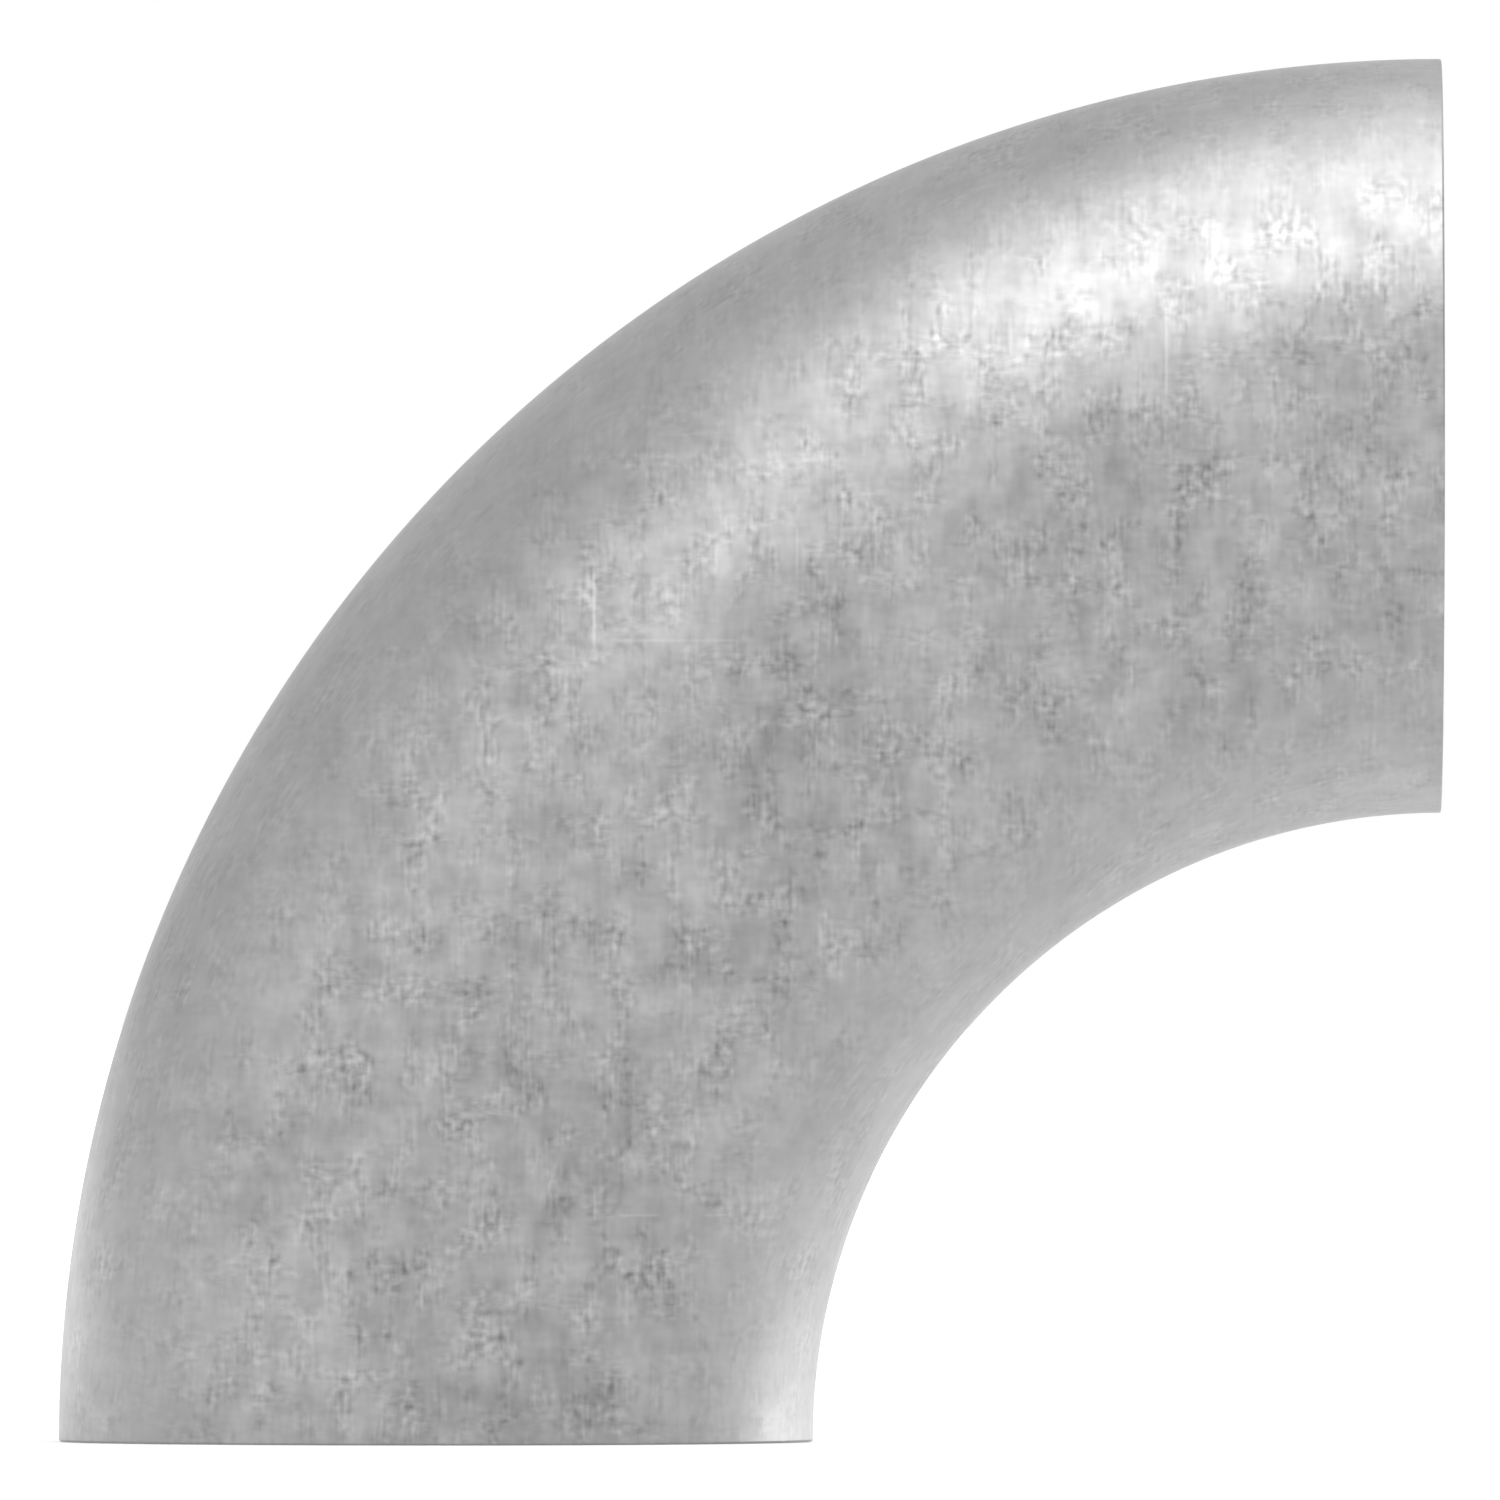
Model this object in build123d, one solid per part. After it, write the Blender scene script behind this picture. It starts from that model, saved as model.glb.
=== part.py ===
from build123d import *

import os

# A 90 degree long-radius pipe bend for butt welding, with a thin wall and no straight ends. It is one
# piece of round tube that was formed into a quarter ring and then cut square at both ends.
# Lengths are in millimetres and angles in degrees.
outside_diameter = 114.3
wall = 2.0
centreline_radius = 152.4  # from the centre of the bend to the middle of the bore
bend_angle = 90.0
edge_break = 0.3  # taken off the four end rims after the cut

# The lower end stands on the XY plane with its centre at the origin. The bend rises along +Z and turns
# towards +X about a line through its own centre, which is parallel to Y.
turning_axis = Axis((centreline_radius, 0, 0), (0, 1, 0))


def tube_section():
    """The ring of metal that shows when the tube is cut square."""
    outline = Circle(outside_diameter / 2)
    bore = Circle(outside_diameter / 2 - wall)
    return outline - bore


def break_end_rims(tube):
    """Takes the sharpness off the inner and outer rim of each flat end."""
    end_faces = tube.faces().filter_by(GeomType.PLANE)
    return chamfer(end_faces.edges(), length=min(edge_break, wall / 4))


pipe_bend = revolve(tube_section(), axis=turning_axis, revolution_arc=bend_angle)
pipe_bend = break_end_rims(pipe_bend)
pipe_bend.label = "pipe_bend"

os.makedirs("parts", exist_ok=True)
export_step(pipe_bend, "parts/pipe_bend.step")
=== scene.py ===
# A long-radius quarter-turn pipe bend of thin brushed steel tube, standing on its lower end.
# Everything is in metres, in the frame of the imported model: +Z up, and the bend turns towards +X.
import math

import bpy
import bmesh
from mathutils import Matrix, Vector


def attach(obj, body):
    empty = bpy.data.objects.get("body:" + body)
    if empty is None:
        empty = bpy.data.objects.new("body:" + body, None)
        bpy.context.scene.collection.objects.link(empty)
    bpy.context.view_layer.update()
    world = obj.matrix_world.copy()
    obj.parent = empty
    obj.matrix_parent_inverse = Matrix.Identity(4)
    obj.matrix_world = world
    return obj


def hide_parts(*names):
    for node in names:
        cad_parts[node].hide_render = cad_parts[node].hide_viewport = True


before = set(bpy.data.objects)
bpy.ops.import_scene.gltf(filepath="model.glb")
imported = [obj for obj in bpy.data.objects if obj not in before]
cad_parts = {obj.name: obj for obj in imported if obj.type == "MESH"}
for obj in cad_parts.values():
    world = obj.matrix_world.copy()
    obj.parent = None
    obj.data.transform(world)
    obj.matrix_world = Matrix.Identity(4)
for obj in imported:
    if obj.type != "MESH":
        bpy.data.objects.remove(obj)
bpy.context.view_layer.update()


# The pipe bend. One length of round steel tube with a 2 mm wall, bent hot to a quarter ring over a
# mandrel. Both ends are faced square in a lathe, and their rims have the sharpness taken off.
outside_diameter = 0.1143
wall = 0.002
centreline_radius = 0.1524
edge_break = 0.0003
points_round_the_tube = 192
steps_along_the_bend = 96

bpy.ops.object.select_all(action="DESELECT")
bpy.ops.mesh.primitive_circle_add(vertices=points_round_the_tube, radius=outside_diameter / 2)
pipe_bend = bpy.context.object
pipe_bend.name = "pipe_bend_metal"
bpy.ops.object.mode_set(mode="EDIT")

# The section that shows when the tube is cut: an outer circle, an inner one, and the metal between.
bpy.ops.mesh.select_all(action="SELECT")
half_a_step = math.pi / points_round_the_tube
bpy.ops.transform.rotate(value=half_a_step, orient_axis="Z", center_override=(0, 0, 0))
bpy.ops.mesh.duplicate()
bore_scale = 1 - 2 * wall / outside_diameter
bpy.ops.transform.resize(value=(bore_scale, bore_scale, 1), center_override=(0, 0, 0))
bpy.ops.mesh.select_all(action="SELECT")
bpy.ops.mesh.bridge_edge_loops()

# The section is swept round the middle of the bend, which lies on the level of the lower end.
bpy.ops.mesh.select_all(action="SELECT")
bpy.ops.mesh.spin(
    steps=steps_along_the_bend,
    angle=math.radians(-90),
    center=(centreline_radius, 0, 0),
    axis=(0, 1, 0),
)
bpy.ops.mesh.select_all(action="SELECT")
bpy.ops.mesh.remove_doubles(threshold=1e-6)
bpy.ops.mesh.normals_make_consistent(inside=False)


def on_an_end(point):
    """True for a point that lies in the plane of the lower or the upper end."""
    return abs(point.z) < 1e-6 or abs(point.x - centreline_radius) < 1e-6


# The four rims are the edges that run round an end. The other edges in the end's plane cross the wall.
bpy.ops.mesh.select_mode(type="EDGE")
bpy.ops.mesh.select_all(action="DESELECT")
metal = bmesh.from_edit_mesh(pipe_bend.data)
for edge in metal.edges:
    if all(on_an_end(vertex.co) for vertex in edge.verts):
        edge.select = abs(edge.calc_length() - wall) > wall / 20
bmesh.update_edit_mesh(pipe_bend.data)
bpy.ops.mesh.bevel(offset=edge_break, segments=2, affect="EDGES")
bpy.ops.object.mode_set(mode="OBJECT")
bpy.ops.object.shade_smooth_by_angle(angle=math.radians(15))


def tube_radius_at(point):
    """The distance of a point from the middle of the bore, which is an arc in the plane y = 0."""
    from_turning_axis = math.hypot(centreline_radius - point.x, point.z)
    return math.hypot(from_turning_axis - centreline_radius, point.y)


outer_skin, bore, cut_end = 0, 1, 2
for face in pipe_bend.data.polygons:
    if all(on_an_end(pipe_bend.data.vertices[corner].co) for corner in face.vertices):
        face.material_index = cut_end
    elif tube_radius_at(face.center) < outside_diameter / 2 - 0.9 * wall:
        face.material_index = bore

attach(pipe_bend, "root")
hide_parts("pipe_bend")


# The outer skin. Light grey brushed steel with an even satin sheen: fine upright hairlines, shorter
# level ones across them, clouds and clustered dark blotches from pickling, and a few bright scratches.
class Wire:
    """A shader socket that takes part in Python arithmetic. Each operation adds its own node."""

    def __init__(self, tree, socket=None):
        self.tree = tree
        self.socket = socket

    def node(self, kind, settings=None, sockets=None, output=0):
        """Adds a node. Its settings are set first, and then the values or links of its sockets."""
        node = self.tree.nodes.new("ShaderNode" + kind)
        for name, value in (settings or {}).items():
            setattr(node, name, value)
        for name, value in (sockets or {}).items():
            if isinstance(value, Wire):
                self.tree.links.new(value.socket, node.inputs[name])
            else:
                node.inputs[name].default_value = value
        return Wire(self.tree, node.outputs[output])

    def maths(self, operation, *values):
        """Adds a Math node on this value and up to two more."""
        return self.node("Math", {"operation": operation}, dict(enumerate((self, *values))))

    def __add__(self, other):
        return self.maths("ADD", other)

    def __sub__(self, other):
        return self.maths("SUBTRACT", other)

    def __rsub__(self, other):
        return (self * -1).maths("ADD", other)

    def __mul__(self, other):
        return self.maths("MULTIPLY", other)

    def __truediv__(self, other):
        return self.maths("DIVIDE", other)

    def __pow__(self, other):
        return self.maths("POWER", other)

    __radd__ = __add__
    __rmul__ = __mul__

    def stepped(self, low, high):
        """Rises smoothly from 0 to 1 while this value goes from low to high."""
        return self.node(
            "MapRange",
            {"interpolation_type": "SMOOTHSTEP"},
            {"Value": self, "From Min": low, "From Max": high},
        )

    def part(self, axis):
        """The x, y or z of this vector."""
        return self.node("SeparateXYZ", {}, {0: self}, "XYZ".index(axis))

    def point(self, x, y, z):
        """A vector from three values or links."""
        return self.node("CombineXYZ", {}, {0: x, 1: y, 2: z})

    def noise(self, place, detail=0.0, roughness=0.5):
        """Smooth noise about zero, mostly within -0.5 to 0.5."""
        settings = {"noise_dimensions": "3D"}
        sockets = {"Vector": place, "Scale": 1.0, "Detail": detail, "Roughness": roughness}
        return self.node("TexNoise", settings, sockets) - 0.5


def new_metal(name):
    """A metallic material, added to the pipe bend. Returns its shader, and a wire for its tree."""
    material = bpy.data.materials.new(name)
    material.use_nodes = True
    shader = material.node_tree.nodes["Principled BSDF"]
    shader.inputs["Metallic"].default_value = 1.0
    pipe_bend.data.materials.append(material)
    return shader, Wire(material.node_tree)


def connect(wire, shader, name):
    """Links a wire to a socket of the shader."""
    wire.tree.links.new(wire.socket, shader.inputs[name])


def grey(wire):
    """Turns a value into a grey colour."""
    dark, light = (0.0, 0.0, 0.0, 1.0), (1.0, 1.0, 1.0, 1.0)
    return wire.node("Mix", {"data_type": "RGBA"}, {0: wire, 6: dark, 7: light}, 2)


skin_shader, skin = new_metal("brushed_metal")
coordinates = skin.tree.nodes.new("ShaderNodeTexCoord")
place = Wire(skin.tree, coordinates.outputs["Object"])
facing = Wire(skin.tree, coordinates.outputs["Normal"])
millimetres = 1000.0
x, y, z = (place.part(axis) * millimetres for axis in "XYZ")


def brushed(across, along, layer):
    """The tone of the finish on a flat plane, for millimetres across and along the hairlines."""
    clouds = skin.noise(skin.point(across / 22, along / 30, layer), 1.0, 0.6)
    upright = skin.noise(skin.point(across / 4.6, along / 10, layer + 10), 2.0, 0.7)
    level = skin.noise(skin.point(across / 9, along / 4.6, layer + 20), 2.0, 0.7)
    patches = upright * 0.66 + level * 0.46
    worn_upright = skin.noise(skin.point(across / 5, along / 10, layer + 30), 1.0, 0.7)
    worn_level = skin.noise(skin.point(across / 10, along / 6, layer + 70), 1.0, 0.7)
    busy_upright = (worn_upright - patches * 0.15).stepped(-0.08, 0.14)
    busy_level = (worn_level - patches * 0.15).stepped(-0.04, 0.16)
    fine_upright = skin.noise(skin.point(across / 0.85, along / 2.2, layer + 40), 1.0, 0.6)
    fine_level = skin.noise(skin.point(across / 2.2, along / 0.85, layer + 50), 1.0, 0.6)
    hairs = skin.noise(skin.point(across / 0.65, along / 6, layer + 60), 0.0, 0.5)
    specks = skin.noise(skin.point(across / 1.2, along / 1.3, layer + 80), 0.0, 0.5)
    fine = (
        fine_upright * (0.06 + 0.42 * busy_upright + 0.12 * busy_level)
        + fine_level * (0.06 + 0.40 * busy_level + 0.14 * busy_upright)
        + hairs * (0.05 + 0.30 * busy_upright)
        + specks * (0.40 * busy_upright + 0.35 * busy_level)
    )
    return clouds * 0.5 + patches * 1.05 + fine


def scratch(across, along, centre, start, end, width):
    """1 along the middle of a straight scratch, and 0 beside and beyond it, in millimetres."""
    beside = (across - centre).maths("ABSOLUTE") / width
    beyond = (along - (start + end) / 2).maths("ABSOLUTE") / ((end - start) / 2)
    return (1 - beside).stepped(0.0, 1.0) * (1 - beyond).stepped(0.0, 0.35)


# The finish is laid on from the front, from the side and from above, and fades between the three.
# The inner and outer sides are smoother than the front and the back.
sharpness = 4.0
from_front, from_side, from_above = (
    facing.part(axis).maths("ABSOLUTE") ** sharpness for axis in "YXZ"
)
total = from_front + from_side + from_above
calm = 0.55
front_tone = brushed(x, z, 0)
side_tone = brushed(y, z, 100) * calm
above_tone = brushed(x, y, 200) * calm
tone = (front_tone * from_front + side_tone * from_side + above_tone * from_above) / total

# Scratches on the front of the bend: the place across, the start, the end, half the width, and how
# much brighter each is than the skin round it.
front_side = (y * -1).stepped(0.0, 10.0)
upright_scratches = (
    (24.1, 119.0, 133.5, 0.45, 0.26),
    (24.2, 33.0, 39.5, 0.4, 0.16),
    (110.4, 157.0, 172.5, 0.4, 0.20),
    (110.9, 120.0, 154.0, 0.7, 0.07),
    (54.7, 130.5, 139.0, 0.35, 0.14),
)
level_scratches = (
    (133.6, 34.0, 43.0, 0.4, 0.10),
    (121.3, 26.5, 48.0, 0.4, 0.12),
    (34.6, 27.5, 34.5, 0.35, 0.14),
    (34.6, 40.5, 44.5, 0.35, 0.12),
    (121.6, 117.0, 125.5, 0.4, 0.08),
    (133.6, 120.5, 126.5, 0.4, 0.09),
)
scratches = 0 * x
for centre, start, end, width, brighter in upright_scratches:
    scratches = scratches + scratch(x, z, centre, start, end, width) * brighter
for centre, start, end, width, brighter in level_scratches:
    scratches = scratches + scratch(z, x, centre, start, end, width) * brighter
tone = tone + scratches * front_side

mean_reflectance = 0.322
connect(grey(mean_reflectance * (1 + tone)), skin_shader, "Base Color")
connect(0.40 - tone * 0.10, skin_shader, "Roughness")
skin_shader.inputs["Specular Tint"].default_value = (0.92, 0.92, 0.92, 1)
grain = skin.noise(skin.point(x / 0.7, y / 0.7, z / 2.5), 1.0, 0.6)
relief = skin.node("Bump", {}, {"Strength": 0.25, "Distance": 0.00003, "Height": grain})
connect(relief, skin_shader, "Normal")


# The bore. The same steel as the mandrel and the pickling bath leave it: a shade darker and duller
# than the brushed skin, with faint drawing marks that run along the tube.
bore_shader, bore_metal = new_metal("bore_metal")
coordinates = bore_metal.tree.nodes.new("ShaderNodeTexCoord")
place = Wire(bore_metal.tree, coordinates.outputs["Object"])
x, y, z = (place.part(axis) * millimetres for axis in "XYZ")
inwards = centreline_radius * millimetres - x
from_turning_axis = (inwards * inwards + z * z).maths("SQRT")
sideways = from_turning_axis - centreline_radius * millimetres
along_the_bore = z.maths("ARCTAN2", inwards) * (centreline_radius * millimetres)
drawn = bore_metal.noise(
    bore_metal.point(y / 0.7, sideways / 0.7, along_the_bore / 60), 2.0, 0.6
)
stains = bore_metal.noise(bore_metal.point(y / 16, sideways / 16, along_the_bore / 26), 4.0, 0.65)
connect(grey(0.42 * (1 + drawn * 0.3 + stains * 0.6)), bore_shader, "Base Color")
connect(0.5 + stains * 0.25, bore_shader, "Roughness")
relief = bore_metal.node("Bump", {}, {"Strength": 0.2, "Distance": 0.00002, "Height": drawn})
connect(relief, bore_shader, "Normal")


# The cut ends. Bright, freshly faced steel with the fine rings that the lathe tool leaves.
end_shader, end_metal = new_metal("faced_end_metal")
coordinates = end_metal.tree.nodes.new("ShaderNodeTexCoord")
place = Wire(end_metal.tree, coordinates.outputs["Object"])
x, y, z = (place.part(axis) * millimetres for axis in "XYZ")
inwards = centreline_radius * millimetres - x
sideways = (inwards * inwards + z * z).maths("SQRT") - centreline_radius * millimetres
from_bore_centre = (y * y + sideways * sideways).maths("SQRT")
rings = end_metal.noise(end_metal.point(from_bore_centre / 0.12, 0.0, 0.0), 2.0, 0.6)
connect(grey(0.42 * (1 + rings * 0.5)), end_shader, "Base Color")
end_shader.inputs["Roughness"].default_value = 0.3
relief = end_metal.node("Bump", {}, {"Strength": 0.3, "Distance": 0.00003, "Height": rings})
connect(relief, end_shader, "Normal")


# The studio: a pale floor, an even white surround, and soft lamps.
bpy.ops.mesh.primitive_plane_add(size=30, location=(0, 0, -0.0001))
floor = bpy.context.object
floor.name = "floor"
floor_paint = bpy.data.materials.new("pale_floor")
floor_paint.use_nodes = True
floor_shader = floor_paint.node_tree.nodes["Principled BSDF"]
floor_shader.inputs["Base Color"].default_value = (0.6, 0.6, 0.6, 1)
floor_shader.inputs["Roughness"].default_value = 1.0
floor_shader.inputs["Specular IOR Level"].default_value = 0.0
floor_shader.inputs["Emission Strength"].default_value = 1.0
floor.data.materials.append(floor_paint)

# The floor is lit from within as well, so that it stays white where no lamp reaches it. Near the bend
# it glows less, and keeps the bend's shadow.
floor_glow = Wire(floor_paint.node_tree)
coordinates = floor_glow.tree.nodes.new("ShaderNodeTexCoord")
place = Wire(floor_glow.tree, coordinates.outputs["Object"])
x, y = place.part("X"), place.part("Y")
from_the_bend = (x * x + y * y).maths("SQRT")
connect(grey(0.30 + 0.45 * from_the_bend.stepped(0.2, 1.8)), floor_shader, "Emission Color")

world = bpy.data.worlds.new("studio")
bpy.context.scene.world = world
world.use_nodes = True
world.node_tree.nodes["Background"].inputs["Color"].default_value = (1, 1, 1, 1)
bpy.context.scene.view_settings.view_transform = "Standard"

middle_of_bend = Vector((0.05, 0, 0.1))
lamp_distance = 1.5


def soft_lamp(name, towards, degrees, brightness):
    """A round softbox in a direction from the bend. It is so many degrees wide, seen from there."""
    light = bpy.data.lights.new(name, "AREA")
    light.shape = "DISK"
    light.size = 2 * lamp_distance * math.tan(math.radians(degrees / 2))
    light.energy = brightness * math.pi * math.pi * (light.size / 2) ** 2
    lamp = bpy.data.objects.new(name, light)
    bpy.context.scene.collection.objects.link(lamp)
    direction = Vector(towards).normalized()
    lamp.location = middle_of_bend + direction * lamp_distance
    lamp.rotation_euler = direction.to_track_quat("Z", "Y").to_euler()
    lamp.visible_camera = False


soft_lamp("overhead_softbox", (0, -0.28, 0.96), 50, 2.35)
soft_lamp("high_rear_softbox", (0.25, 0.35, 0.9), 30, 1.5)
soft_lamp("high_front_softbox", (0, -0.85, 0.52), 40, 0.39)
soft_lamp("left_front_softbox", (-0.4, -0.62, 0.66), 40, 0.75)
soft_lamp("low_left_front_softbox", (-0.75, -0.7, 0.1), 50, 0.19)
soft_lamp("left_softbox", (-1, -0.1, 0.1), 60, 0.23)


def near_lamp(name, place, target, width, height, spread, brightness):
    """A small softbox near the bend, turned towards a target. A grid narrows its beam to the spread."""
    light = bpy.data.lights.new(name, "AREA")
    light.shape = "DISK" if width == height else "RECTANGLE"
    light.size, light.size_y = width, height
    light.spread = math.radians(spread)
    area = math.pi * width * height / 4 if width == height else width * height
    light.energy = brightness * math.pi * area
    lamp = bpy.data.objects.new(name, light)
    bpy.context.scene.collection.objects.link(lamp)
    lamp.location = place
    lamp.rotation_euler = (Vector(place) - Vector(target)).to_track_quat("Z", "Y").to_euler()
    lamp.visible_camera = False


near_lamp("rear_strip", (-0.60, 0.75, 0.06), (0.0, 0.0, 0.03), 0.8, 0.12, 180, 1.07)
near_lamp("inner_rear_spot", (0.20, 0.20, 0.07), (0.095, 0.02, 0.01), 0.12, 0.12, 60, 0.72)
near_lamp("inner_right_spot", (0.26, 0.14, 0.07), (0.095, 0.01, 0.01), 0.12, 0.12, 60, 1.53)
near_lamp("inner_high_spot", (0.32, 0.10, 0.22), (0.11, 0.0, 0.0), 0.24, 0.24, 50, 0.36)

camera_data = bpy.data.cameras.new("camera")
camera = bpy.data.objects.new("camera", camera_data)
bpy.context.scene.collection.objects.link(camera)
camera_data.lens = 1600
camera_data.sensor_width = 36
camera_data.clip_end = 100
frame_width = 0.2274
camera.location = (0.047625, -frame_width * camera_data.lens / camera_data.sensor_width, 0.104775)
camera.rotation_euler = (math.radians(90), 0, 0)
bpy.context.scene.camera = camera
